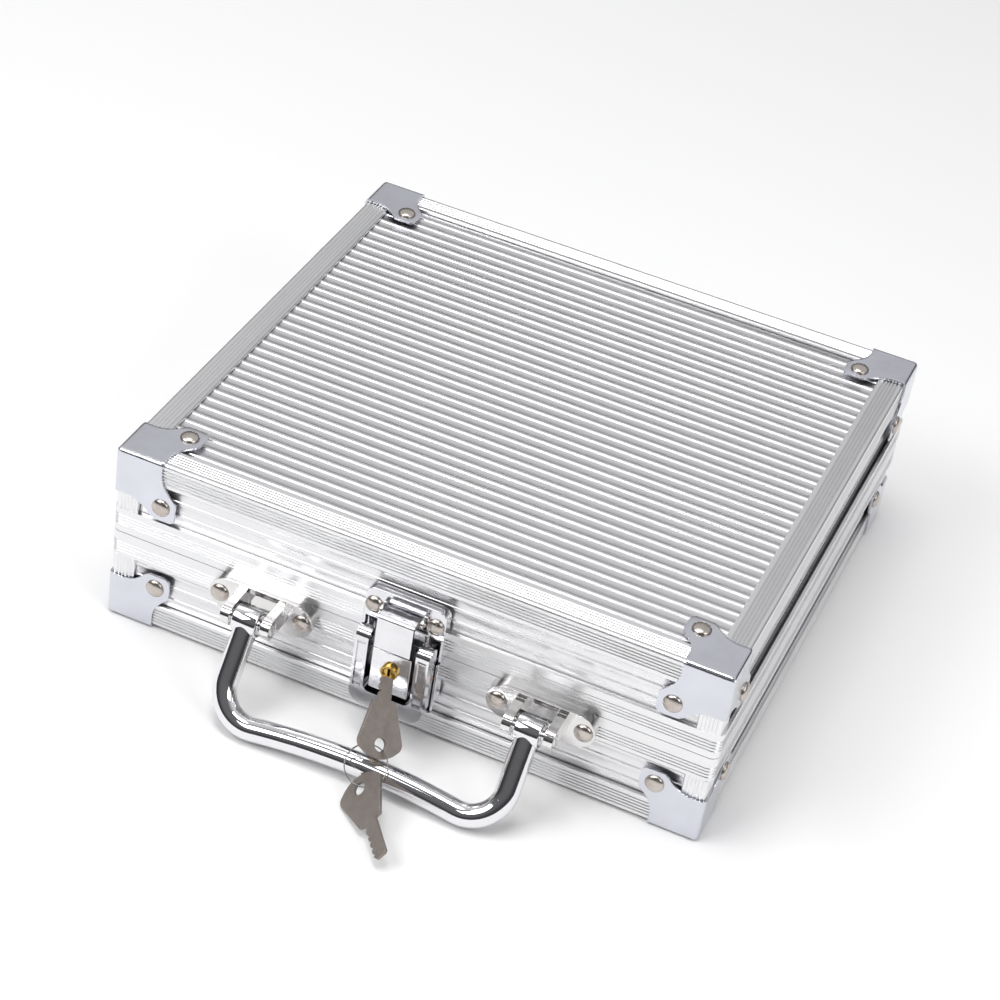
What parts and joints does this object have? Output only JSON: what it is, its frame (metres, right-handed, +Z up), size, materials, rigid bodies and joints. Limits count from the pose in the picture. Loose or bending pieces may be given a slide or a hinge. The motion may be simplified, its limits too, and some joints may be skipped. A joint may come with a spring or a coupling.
{
  "type": "poker chip case",
  "caption": "Hinged metal-clad case with ribbed panels, riveted corner guards, a lockable latch, a swinging bail handle, a pair of keys and a fitted chip and card tray.",
  "frame": {"origin": "centre of the case footprint on the plane it stands on, the outer faces of the four bottom corner guards", "axes": "+Z up through the closed lid; +X along the front, to the right seen from the handle side; -Y out of the front, towards the handle"},
  "size_m": [0.2148, 0.2689, 0.0696],
  "materials": {
    "board": "rough fibreboard",
    "ribbed_sheet": "satin ribbed sheet",
    "extrusion": "satin grooved extrusion",
    "guard_steel": "bright nickel plated sheet",
    "rivet_nickel": "nickel plated",
    "foam_tray": "flocked foam",
    "foam_pad": "open cell foam",
    "hinge_steel": "nickel plated",
    "bracket_chrome": "cast and chrome plated",
    "bail_chrome": "polished",
    "latch_chrome": "chrome plated pressing",
    "lock_box_chrome": "chrome plated",
    "brass": "turned",
    "copper": "copper plated",
    "key_nickel": "satin nickel",
    "ring_steel": "drawn wire"
  },
  "bodies": {
    "base": {"base_box": "board", "base_sheet_front": "ribbed_sheet", "base_sheet_back": "ribbed_sheet", "base_sheet_left": "ribbed_sheet", "base_sheet_right": "ribbed_sheet", "base_sheet_bottom": "ribbed_sheet", "base_edge_front": "extrusion", "base_edge_back": "extrusion", "base_edge_left": "extrusion", "base_edge_right": "extrusion", "base_posts": "extrusion", "base_rim": "extrusion", "base_guard_fl": "guard_steel", "base_guard_fr": "guard_steel", "base_guard_bl": "guard_steel", "base_guard_br": "guard_steel", "base_rivets": "rivet_nickel", "tray_boards": "foam_tray", "tray_ridges": "foam_tray", "tray_blocks": "foam_tray", "hinge_base_leaves": "hinge_steel", "hinge_base_rivets": "rivet_nickel", "hinge_pins": "rivet_nickel", "bracket_left": "bracket_chrome", "bracket_right": "bracket_chrome", "handle_pins": "bail_chrome", "lock_base": "latch_chrome", "lock_bezel": "latch_chrome", "bezel_pins": "copper", "lock_box": "lock_box_chrome", "lock_barrel": "brass"},
    "lid": {"lid_box": "board", "lid_sheet_front": "ribbed_sheet", "lid_sheet_back": "ribbed_sheet", "lid_sheet_left": "ribbed_sheet", "lid_sheet_right": "ribbed_sheet", "lid_sheet_top": "ribbed_sheet", "lid_edge_front": "extrusion", "lid_edge_back": "extrusion", "lid_edge_left": "extrusion", "lid_edge_right": "extrusion", "lid_posts": "extrusion", "lid_rim": "extrusion", "lid_guard_fl": "guard_steel", "lid_guard_fr": "guard_steel", "lid_guard_bl": "guard_steel", "lid_guard_br": "guard_steel", "lid_guard_rivets": "rivet_nickel", "lid_pad": "foam_pad", "hinge_lid_leaves": "hinge_steel", "hinge_lid_rivets": "rivet_nickel", "strike_plate": "latch_chrome", "strike_rivets": "rivet_nickel", "hasp_pin": "rivet_nickel"},
    "hasp": {"hasp": "latch_chrome"},
    "lock_plug": {"lock_plug": "brass"},
    "handle": {"handle": "bail_chrome"},
    "key_set": {"key_leaning": "key_nickel", "key_ring": "ring_steel"},
    "spare_key": {"key_spare": "key_nickel"}
  },
  "joints": [
    {"name": "lid_hinge", "type": "hinge", "parent": "base", "child": "lid", "pos_m": [0, 0.1032, 0.0345], "axis": [-1, 0, 0], "range_deg": [0, 100]},
    {"name": "hasp_lift", "type": "hinge", "parent": "lid", "child": "hasp", "pos_m": [0, -0.1062, 0.049], "axis": [-1, 0, 0], "range_deg": [0, 95]},
    {"name": "lock_turn", "type": "hinge", "parent": "base", "child": "lock_plug", "pos_m": [0, -0.1105, 0.0298], "axis": [0, -1, 0], "range_deg": [0, 90]},
    {"name": "handle_swing", "type": "hinge", "parent": "base", "child": "handle", "pos_m": [0, -0.1126, 0.0298], "axis": [-1, 0, 0], "range_deg": [0, 90]},
    {"name": "key_set_swing", "type": "hinge", "parent": "base", "child": "key_set", "pos_m": [0, -0.1126, 0.0298], "axis": [-1, 0, 0], "range_deg": [0, 90]},
    {"name": "spare_key_swing", "type": "hinge", "parent": "key_set", "child": "spare_key", "pos_m": [0.00633, -0.13966, 0.0069], "axis": [-0.9765, -0.2154, 0.0048], "range_deg": [0, 30]}
  ],
  "couplings": [
    {"joint": "key_set_swing", "follows": "handle_swing", "ratio": 1}
  ]
}
